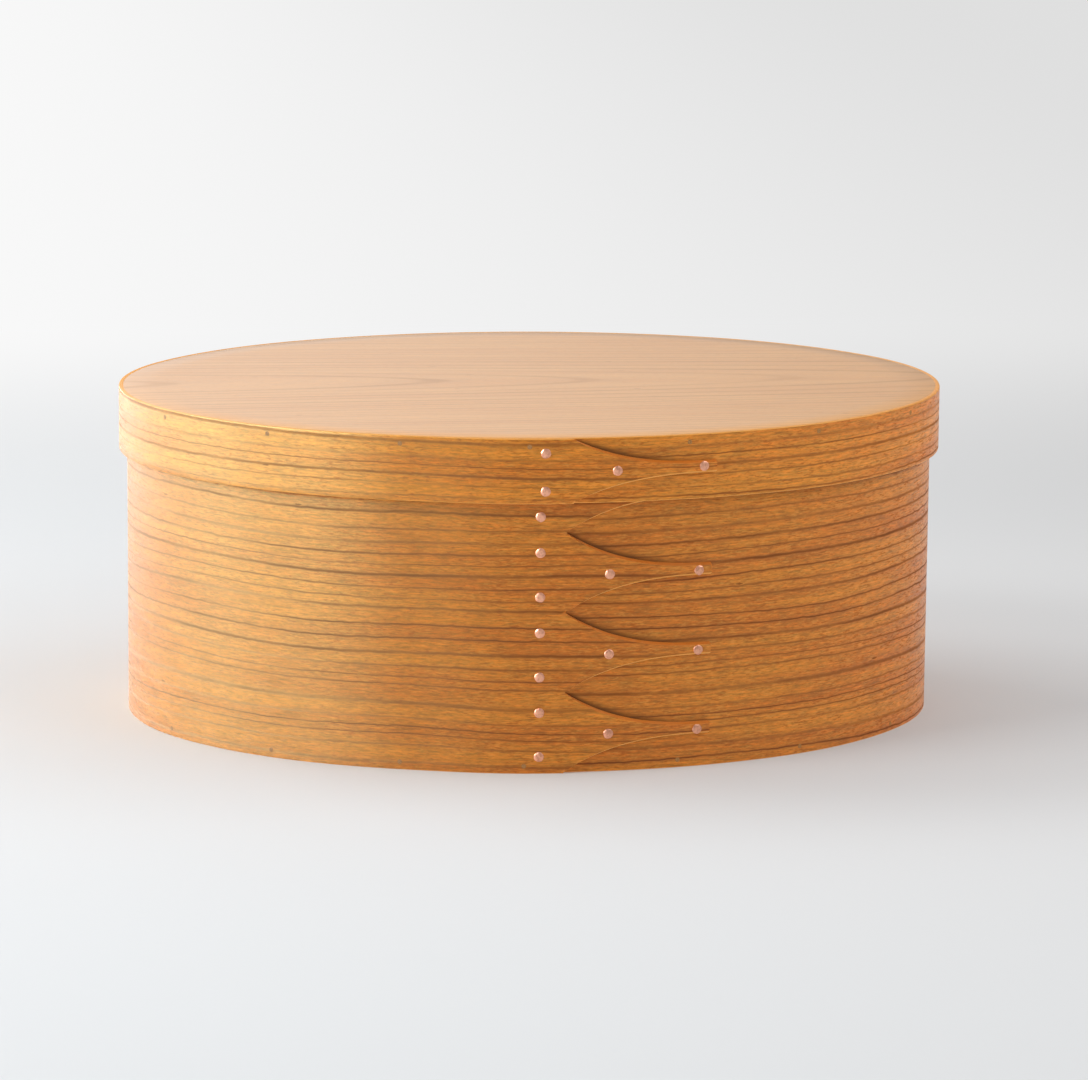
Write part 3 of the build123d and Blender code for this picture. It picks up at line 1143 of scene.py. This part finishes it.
@dataclass(frozen=True)
class CherryFinish:
    """Oiled and hand-rubbed cherry. Colours are linear."""

    pale: Triple = (0.605, 0.184, 0.013)
    warm: Triple = (0.525, 0.126, 0.007)
    dash: Triple = (0.36, 0.056, 0.002)
    gleam: Triple = (0.80, 0.330, 0.055)
    line: Triple = (0.165, 0.024, 0.001)
    cut: Triple = (0.62, 0.150, 0.008)
    # Painted light: cut edges that face down are paler, as if lit from the floor below.
    cut_painted_light_below: Triple = (0.95, 0.430, 0.090)
    # Painted highlight: the rounded rims of a band are paler, as if they caught the light.
    rim: Triple = (0.90, 0.400, 0.080)
    # Painted shade: the colour of the wedges over the fingers' upper edges.
    crease_shade: Triple = (0.120, 0.021, 0.001)
    sheen: Triple = (0.98, 0.98, 0.48)
    streaks: float = 3.0
    dullness: float = 0.55
    dash_dullness: float = 0.6
    dash_depth: float = 0.60
    gleam_depth: float = 0.40
    line_depth: float = 0.92
    halo_depth: float = 0.42
    fleck_depth: float = 0.8
    rim_highlight_depth: float = 0.7
    rim_highlight_edges: Pair = (0.2, 0.8)
    cut_depth: float = 0.85
    cut_edges: Pair = (0.45, 0.9)
    cloud_size: Triple = (0.10, 0.010, 0.05)
    ring_tone: float = 0.16
    cloud_edges: Pair = (0.32, 0.68)
    painted_light_below_edges: Pair = (-0.45, -0.05)
    pith: Triple = (-0.90, -0.25, 0.02)
    ring_width: float = 4.9 * MM
    wander: float = 12.0 * MM
    tremor: float = 1.1 * MM
    offset: Triple = (0.0, 0.0, 0.0)
    roughness: float = 0.38
    roughness_change: float = 0.16
    grooved: float = 0.7
    groove_turn: float = 0.25
    density: float = 1.8
    coat: float = 0.0
    coat_roughness: float = 0.25
    bump: float = 0.016 * MM
    line_height: float = -0.4

    def dress(
        self,
        piece: Object,
        kind: Wood,
        rings: NodeTree,
        fibres: NodeTree,
        band: Band | None = None,
    ) -> None:
        """Gives a piece this finish.

        Args:
            piece: The piece to dress.
            kind: Which cherry surface it is.
            rings: The growth ring group.
            fibres: The fibre group.
            band: The band that the piece is, if it is one, whose wedges over its fingers get painted shade.
        """
        material, nodes = start_material(kind.value)
        bare = nodes.attribute(GRAIN_PLACE, "Vector")
        place = nodes.vector("ADD", bare, self.offset)
        plank = {"Ring Width": self.ring_width, "Wander": self.wander, "Tremor": self.tremor}
        for name, value in zip(("Across", "Through", "Slope"), self.pith):
            plank[f"Pith {name}"] = value
        ring = nodes.group(rings, {"Place": place, **plank})
        fibre = nodes.group(fibres, {"Place": place})
        cloud = nodes.noise(place, self.cloud_size) + (ring["Ring"] - 0.5) * self.ring_tone
        colour = nodes.mix(cloud.ease(*self.cloud_edges), self.pale, self.warm)
        tone = fibre["Fibre"] * self.streaks + (1.0 - 0.5 * self.streaks)
        colour = nodes.get("ShaderNodeVectorMath", {0: colour, "Scale": tone}, operation="SCALE")
        for mask, depth, tint in (
            (fibre["Light"], self.gleam_depth, self.gleam),
            (fibre["Dark"], self.dash_depth, self.dash),
            (ring["Halo"], self.halo_depth, self.dash),
            (ring["Line"], self.line_depth, self.line),
            (fibre["Silver"], self.fleck_depth, self.gleam),
            (fibre["Pith"], self.fleck_depth, self.line),
        ):
            colour = nodes.mix(mask * depth, colour, tint)
        edge = nodes.attribute(CUT_EDGE, "Fac")
        # Painted highlight: the rims turn towards a paler colour.
        colour = nodes.mix((edge * -1.0).ease(*self.rim_highlight_edges) * self.rim_highlight_depth, colour, self.rim)
        # Painted light: where a cut edge faces down, its colour turns paler, standing in for light from
        # below.
        _, _, rise = nodes.parts(nodes.get("ShaderNodeNewGeometry", output="Normal"))
        cut = nodes.mix(rise.fade(*self.painted_light_below_edges), self.cut, self.cut_painted_light_below)
        colour = nodes.mix(edge.ease(*self.cut_edges) * self.cut_depth, colour, cut)
        dull = ring["Line"].most(fibre["Dark"] * self.dash_dullness).most(fibre["Pith"])
        if band:
            # Painted shade: the wedges over the fingers are darkened in the colour, where the fingers'
            # upper edges would shade them.
            shade = nodes.group(PaintedCreaseShade(band).build(), {"Place": bare})["Shade"]
            colour = nodes.mix(shade, colour, self.crease_shade)
            dull = dull.most(shade)
        rough = (fibre["Fibre"] - 0.5) * self.roughness_change + self.roughness
        height = ring["Line"] * self.line_height + fibre["Height"]
        bump = {"Strength": 1.0, "Distance": self.bump, "Height": height}
        tangent = nodes.get("ShaderNodeTangent", direction_type="RADIAL", axis="Z")
        dress_piece(piece, material, nodes, {
            "Base Color": colour,
            "Roughness": (dull * self.dullness + rough).clamped(),
            "Normal": nodes.get("ShaderNodeBump", bump, "Normal"),
            "IOR": self.density,
            "Specular Tint": (*self.sheen, 1.0),
            "Anisotropic": self.grooved,
            "Anisotropic Rotation": self.groove_turn,
            "Tangent": tangent,
            "Coat Weight": self.coat,
            "Coat Roughness": self.coat_roughness,
        })


@dataclass(frozen=True)
class PegFinish:
    """End grain of darker pegs, with an oil-dark edge."""

    heart: Triple = (0.430, 0.205, 0.052)
    dark: Triple = (0.270, 0.115, 0.025)
    roughness: float = 0.75
    roughness_change: float = 0.2
    speck_edges: Pair = (0.42, 0.66)
    speck_size: Triple = (0.0004, 0.0004, 0.0004)
    bump: float = 0.02 * MM

    def dress(self, piece: Object) -> None:
        """Gives the pegs this finish: a fine noise over the end, darker at its edge.

        Args:
            piece: The pegs.
        """
        material, nodes = start_material("peg_end_grain")
        speck = nodes.noise(nodes.attribute(GRAIN_PLACE, "Vector"), self.speck_size, 3.0, 0.6)
        share = speck.ease(*self.speck_edges).most(nodes.attribute(CUT_EDGE, "Fac"))
        bump = {"Distance": self.bump, "Height": speck}
        dress_piece(piece, material, nodes, {
            "Base Color": nodes.mix(share, self.heart, self.dark),
            "Roughness": (speck - 0.5) * self.roughness_change + self.roughness,
            "Normal": nodes.get("ShaderNodeBump", bump, "Normal"),
        })


@dataclass(frozen=True)
class CopperFinish:
    """Dull hammered copper, a little browned in patches."""

    bright: Triple = (0.92, 0.47, 0.31)
    brown: Triple = (0.70, 0.32, 0.21)
    roughness: float = 0.42
    roughness_change: float = 0.2
    brown_edges: Pair = (0.42, 0.72)
    mottle_height: float = 2.0
    mottle_size: Triple = (0.0011, 0.0011, 0.0011)
    grain_size: Triple = (0.0003, 0.0003, 0.0003)
    bump: float = 0.04 * MM

    def dress(self, piece: Object) -> None:
        """Gives the tacks this finish: two noises on Object coordinates mottle them.

        Args:
            piece: The tacks of one finger.
        """
        material, nodes = start_material("hammered_copper")
        place = nodes.get("ShaderNodeTexCoord", output="Object")
        mottle = nodes.noise(place, self.mottle_size, 3.0, 0.6)
        grain = nodes.noise(place, self.grain_size, 2.0, 0.6)
        bump = {"Distance": self.bump, "Height": mottle * self.mottle_height + grain}
        dress_piece(piece, material, nodes, {
            "Base Color": nodes.mix(mottle.ease(*self.brown_edges), self.bright, self.brown),
            "Roughness": (grain - 0.5) * self.roughness_change + self.roughness,
            "Normal": nodes.get("ShaderNodeBump", bump, "Normal"),
            "Metallic": 1.0,
        })


LID_BAND_WOOD = CherryFinish(
    pale=(0.68, 0.215, 0.014),
    warm=(0.59, 0.150, 0.007),
    ring_width=4.2 * MM,
    offset=(0.7, 0.31, 0.0),
    wander=6.0 * MM,
    line_depth=0.75,
    halo_depth=0.28,
)
# Painted light: the lid board's colours are far paler than the other cherry's, standing in for the light
# and the backdrop's reflection on the top.
LID_BOARD_WOOD_PAINTED_LIGHT = CherryFinish(
    pale=(0.97, 0.47, 0.128),
    warm=(0.92, 0.42, 0.104),
    pith=(0.004, 0.098, 0.05),
    ring_width=4.4 * MM,
    wander=8.0 * MM,
    offset=(0.1, 0.0, 0.0),
    dash_depth=0.25,
    gleam_depth=0.25,
    line_depth=0.45,
    halo_depth=0.2,
    line=(0.52, 0.230, 0.060),
    dash=(0.60, 0.280, 0.070),
    gleam=(0.86, 0.520, 0.200),
    dullness=0.1,
    streaks=0.7,
    sheen=(1.0, 1.0, 1.0),
    roughness=0.3,
    grooved=0.0,
    density=1.5,
    coat=0.95,
    coat_roughness=0.2,
)
BOTTOM_BOARD_WOOD = CherryFinish(
    pith=(0.10, -0.04, 0.05),
    ring_width=5.0 * MM,
    offset=(0.9, 0.4, 0.2),
    grooved=0.0,
    density=1.5,
)


@dataclass
class CheeseBox:
    """The whole box: a body with its bottom, and a lid, each bent, pegged and tacked."""

    peg_edge_distance: float = 3.1 * MM
    box_tack_setback: float = 9.9 * MM
    lid_tack_setback: float = 11.2 * MM
    middle_tack_share: float = 0.295
    tip_tack_inset: float = 5.5 * MM
    box_tack_shares: Series = (0.252, -0.301, -0.026, -0.031)
    lid_tack_shares: Series = (0.282, -0.304, -0.001, 0.014)
    box_front_pegs: Series = (-0.1891, -0.1293, -0.0699, -0.0168, 0.0503, 0.1106, 0.1721)
    lid_front_pegs: Series = (-0.1875, -0.1284, -0.0692, -0.0156, 0.0521, 0.1141, 0.1768)
    lid_tack_seed: int = 5
    box_tack_seed: int = 11

    def tack_places(self, band: Band, number: int, setback: float, shares: Series) -> np.ndarray:
        """Gives the places of a finger's tacks: two behind its root, one in its middle, one near its tip.

        Args:
            band: The finger's band.
            number: The finger, counted from the top.
            setback: How far the first two tacks stand behind the root.
            shares: Heights over the middle of the root, as shares of the finger pitch.

        Returns:
            The run and height of each tack.
        """
        low = band.bottom + band.bottom_margin
        pitch = (band.top - band.top_margin - low) / band.finger_count
        middle = band.top - band.top_margin - (number + 0.5) * pitch
        middle_run = self.middle_tack_share * band.finger_length
        runs = np.array((-setback, -setback, middle_run, band.finger_length - self.tip_tack_inset))
        return np.stack((band.root_run + runs, middle + pitch * np.array(shares)), axis=-1)

    def build(self) -> None:
        """Builds and dresses every piece."""
        rings, fibres = GrowthRings().build(), WoodFibre().build()
        copper, end_grain = CopperFinish(), PegFinish()
        box_band = Band(
            "box_band", "box", 4, 60.2 * MM, -1, droop=0.7 * MM, top_margin=1.1 * MM, bottom_margin=0.4 * MM
        )
        lid_band = Band("lid_band", "lid", 1, 58.5 * MM, 1, root_run=2.6 * MM)
        CherryFinish().dress(box_band.build(), Wood.BOX_BAND, rings, fibres, box_band)
        LID_BAND_WOOD.dress(lid_band.build(), Wood.LID_BAND, rings, fibres, lid_band)
        for wood, kind, board in (
            (LID_BOARD_WOOD_PAINTED_LIGHT, Wood.LID_BOARD, Board("lid_board", "lid", lid_band)),
            (BOTTOM_BOARD_WOOD, Wood.BOTTOM_BOARD, Board("bottom_board", "box", box_band)),
        ):
            wood.dress(board.build(), kind, rings, fibres)
        places = self.tack_places(lid_band, 0, self.lid_tack_setback, self.lid_tack_shares)
        copper.dress(Tacks("lid_tacks", "lid", lid_band, places, self.lid_tack_seed).build())
        for number in range(box_band.finger_count):
            node, seed = f"box_finger_{number + 1}_tacks", self.box_tack_seed + number
            places = self.tack_places(box_band, number, self.box_tack_setback, self.box_tack_shares)
            copper.dress(Tacks(node, "box", box_band, places, seed).build())
        low_height = box_band.bottom + self.peg_edge_distance
        high_height = lid_band.top - self.peg_edge_distance
        end_grain.dress(Pegs("bottom_pegs", "box", box_band, self.box_front_pegs, low_height).build())
        end_grain.dress(Pegs("lid_pegs", "lid", lid_band, self.lid_front_pegs, high_height).build())


@dataclass(frozen=True)
class Lamp:
    """A soft lamp round the box.

    The azimuth runs from the front towards the left, in degrees, and the elevation up from
    the floor. A radiance of 1 looks as bright as a white card in full light. A lamp that is
    only for gloss puts no light on matt surfaces, nor on the flat boards.
    """

    name: str
    azimuth: float
    elevation: float
    distance: float
    width: float
    height: float
    radiance: float
    only_gloss: bool = False


@dataclass(frozen=True)
class Sky:
    """The levels and places of the world's light, on the axes of its direction."""

    backdrop_edges: Pair = (-0.06, 0.30)
    mirror_edges: Pair = (-0.10, 0.30)
    mirror_levels: Pair = (1.10, -0.75)
    beside_edges: Pair = (0.30, 0.75)
    beside_levels: Pair = (0.25, 0.75)
    left_edges: Pair = (-0.8, -0.1)
    left_levels: Pair = (0.05, 0.95)
    level_side: float = 0.03
    level_above: float = 0.92
    lean_back: float = 0.6


@dataclass
class Studio:
    """The pale floor, the soft lights and the camera."""

    lens: float = 184.35
    camera_place: Triple = (-0.2547, -2.2822, 0.5257)
    pitch: float = 0.1963
    turn: float = -0.1139
    roll: float = 0.0091
    camera_reach: float = 100.0
    floor_radius: float = 14.0
    floor_corners: int = 96
    aim_height: float = 0.07
    floor_left_painted_light: Triple = (0.73, 0.75, 0.765)
    floor_right_painted_shade: Triple = (0.60, 0.595, 0.595)
    floor_edges: Pair = (-0.35, 0.75)
    floor_end_edges: Pair = (0.36, 1.0)
    floor_far_edges: Pair = (0.6, 1.5)
    lamps: tuple[Lamp, ...] = (
        Lamp("window", 66, 38, 1.5, 0.6, 0.4, 9.0),
        Lamp("window", 100, 30, 1.5, 0.8, 0.5, 2.2),
        Lamp("window_top", 120, 46, 1.5, 0.9, 0.6, 3.6),
        Lamp("sheen", 57, 19, 1.4, 0.86, 0.34, 29.0, True),
        Lamp("sheen", 88, 14, 1.4, 0.66, 0.34, 32.0, True),
        Lamp("sheen", 116, 10, 1.4, 0.76, 0.34, 18.0, True),
        Lamp("sheen", 142, 10, 1.4, 0.60, 0.34, 22.0, True),
        Lamp("fill", -50, 34, 1.6, 1.0, 0.5, 3.3),
        Lamp("fill", -90, 34, 1.6, 1.0, 0.9, 2.3),
    )
    spill: Triple = (1.0, 0.97, 0.92)
    spill_left: float = 0.38
    spill_right: float = 0.20
    far_level: float = 0.95
    backdrop_painted_fall: float = 0.21
    sky: Sky = Sky()

    def camera(self) -> None:
        """Stands the camera where the photograph was taken from."""
        data = bpy.data.cameras.new("camera")
        data.lens = self.lens
        data.clip_end = self.camera_reach
        camera = bpy.data.objects.new("camera", data)
        bpy.context.scene.collection.objects.link(camera)
        turned = Matrix.Rotation(self.turn, 4, "Z") @ Matrix.Rotation(math.pi / 2 - self.pitch, 4, "X")
        rolled = turned @ Matrix.Rotation(self.roll, 4, "Z")
        camera.matrix_world = Matrix.Translation(self.camera_place) @ rolled
        bpy.context.scene.camera = camera

    def boards(self) -> Collection:
        """Gathers the flat boards, which would mirror the sheen lamps when seen from the side.

        Returns:
            A collection that a lamp leaves out when it takes it as its receivers.
        """
        boards = bpy.data.collections.new("boards_without_sheen")
        for name in ("lid_board_planed", "bottom_board_planed"):
            boards.objects.link(bpy.data.objects[name])
        for entry in boards.collection_objects:
            entry.light_linking.link_state = "EXCLUDE"
        return boards

    def lamp(self, kind: Lamp, number: int, boards: Collection) -> None:
        """Hangs a soft rectangular lamp that faces the middle of the box.

        The camera doesn't see it.

        Args:
            kind: The lamp.
            number: Its number, which ends its name.
            boards: The flat boards, which a lamp that is only for gloss leaves out.
        """
        round_box, up = math.radians(kind.azimuth), math.radians(kind.elevation)
        flat = kind.distance * math.cos(up)
        aim = Vector((0.0, 0.0, self.aim_height))
        left, forward = flat * math.sin(round_box), flat * math.cos(round_box)
        away = Vector((-left, -forward, kind.distance * math.sin(up)))
        data = bpy.data.lights.new(f"{kind.name}_{number}", "AREA")
        data.shape = "RECTANGLE"
        data.size, data.size_y = kind.width, kind.height
        data.energy = kind.radiance * math.pi * kind.width * kind.height
        lamp = bpy.data.objects.new(data.name, data)
        bpy.context.scene.collection.objects.link(lamp)
        facing = away.to_track_quat("Z", "Y").to_matrix().to_4x4()
        lamp.matrix_world = Matrix.Translation(aim + away) @ facing
        lamp.visible_camera = False
        if kind.only_gloss:
            lamp.visible_diffuse = False
            lamp.light_linking.receiver_collection = boards

    def floor(self) -> None:
        """Lays the floor. Its paint is paler at the left and darker at the right: painted light and shade
        of the window. Far from the box it fades into the white glow of the backdrop, which is painted
        brighter at the left too.
        """
        turn = np.linspace(0.0, 2 * math.pi, self.floor_corners, endpoint=False)
        rim = unit(turn) * self.floor_radius
        corners = np.concatenate((rim, np.zeros((rim.shape[0], 1))), axis=1)
        mesh = bpy.data.meshes.new("floor")
        mesh.from_pydata(corners, [], [list(range(turn.size))])
        floor = bpy.data.objects.new("floor", mesh)
        bpy.context.scene.collection.objects.link(floor)
        material, nodes = start_material("pale_floor")
        place = nodes.get("ShaderNodeTexCoord", output="Object")
        x, y, _ = nodes.parts(place)
        # Painted light and shade: the paint is paler at the left and darker at the right, as the window's
        # light falls off.
        right = x.ease(*self.floor_edges)
        paint = nodes.mix(right, self.floor_left_painted_light, self.floor_right_painted_shade)
        # Painted light: the far glow also falls towards the right.
        level = right * -self.backdrop_painted_fall + self.far_level
        far = y.ease(*self.floor_end_edges).most(nodes.length(place).ease(*self.floor_far_edges))
        seen = nodes.outputs(nodes.add("ShaderNodeLightPath"))
        rays = seen["Is Camera Ray"].most(seen["Is Glossy Ray"]).most(seen["Is Transmission Ray"])
        bounce = (right * (self.spill_right - self.spill_left) + self.spill_left) * seen["Is Diffuse Ray"]
        matt = nodes.get("ShaderNodeBsdfDiffuse", {"Color": paint})
        glow = nodes.get("ShaderNodeEmission", {"Color": (1.0, 1.0, 1.0, 1.0), "Strength": level})
        spill = nodes.get("ShaderNodeEmission", {"Color": (*self.spill, 1.0), "Strength": bounce})
        surface = nodes.get("ShaderNodeMixShader", {0: far * rays, 1: matt, 2: glow})
        surface = nodes.get("ShaderNodeAddShader", {0: surface, 1: spill})
        nodes.add("ShaderNodeOutputMaterial", {"Surface": surface})
        mesh.materials.append(material)

    def world(self) -> None:
        """Surrounds all with a dim even light, seen as the white backdrop.

        Matt surfaces are lit from above, more from behind. Gloss mirrors the backdrop, paler
        at the left, and the window's side of the room.
        """
        sky = self.sky
        world = bpy.data.worlds.new("studio")
        bpy.context.scene.world = world
        world.use_nodes = True
        world.node_tree.nodes.clear()
        nodes = Nodes(world.node_tree)
        x, y, z = nodes.parts(nodes.get("ShaderNodeTexCoord", output="Generated"))
        # Painted light: the backdrop that the camera sees is brighter at the left and falls towards the
        # right.
        backdrop = x.ease(*sky.backdrop_edges) * -self.backdrop_painted_fall + self.far_level
        mirror = x.ease(*sky.mirror_edges) * sky.mirror_levels[1] + sky.mirror_levels[0]
        mirror = mirror * (x.fade(*sky.beside_edges) * sky.beside_levels[1] + sky.beside_levels[0])
        left = x.fade(*sky.left_edges) * sky.left_levels[1] + sky.left_levels[0]
        shine = (mirror * y.most(0.0) ** 2.0).most(left)
        light = z.most(0.0) * sky.level_above * (y * sky.lean_back + 1.0)
        light = light + y.apply("ABSOLUTE") * sky.level_side
        seen = nodes.outputs(nodes.add("ShaderNodeLightPath"))
        level = nodes.blend(seen["Is Glossy Ray"], light, shine)
        rays = seen["Is Camera Ray"].most(seen["Is Transmission Ray"])
        level = nodes.blend(rays, level, backdrop)
        surface = nodes.get("ShaderNodeBackground", {"Strength": level})
        nodes.add("ShaderNodeOutputWorld", {"Surface": surface})

    def build(self) -> None:
        """Sets up the whole studio."""
        bpy.context.scene.view_settings.view_transform = "Standard"
        self.camera()
        self.floor()
        self.world()
        boards = self.boards()
        for number, kind in enumerate(self.lamps):
            self.lamp(kind, number, boards)


def main() -> None:
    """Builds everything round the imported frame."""
    logging.basicConfig(level=logging.INFO, format="%(name)s: %(message)s")
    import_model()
    CheeseBox().build()
    Studio().build()


if __name__ == "__main__":
    main()
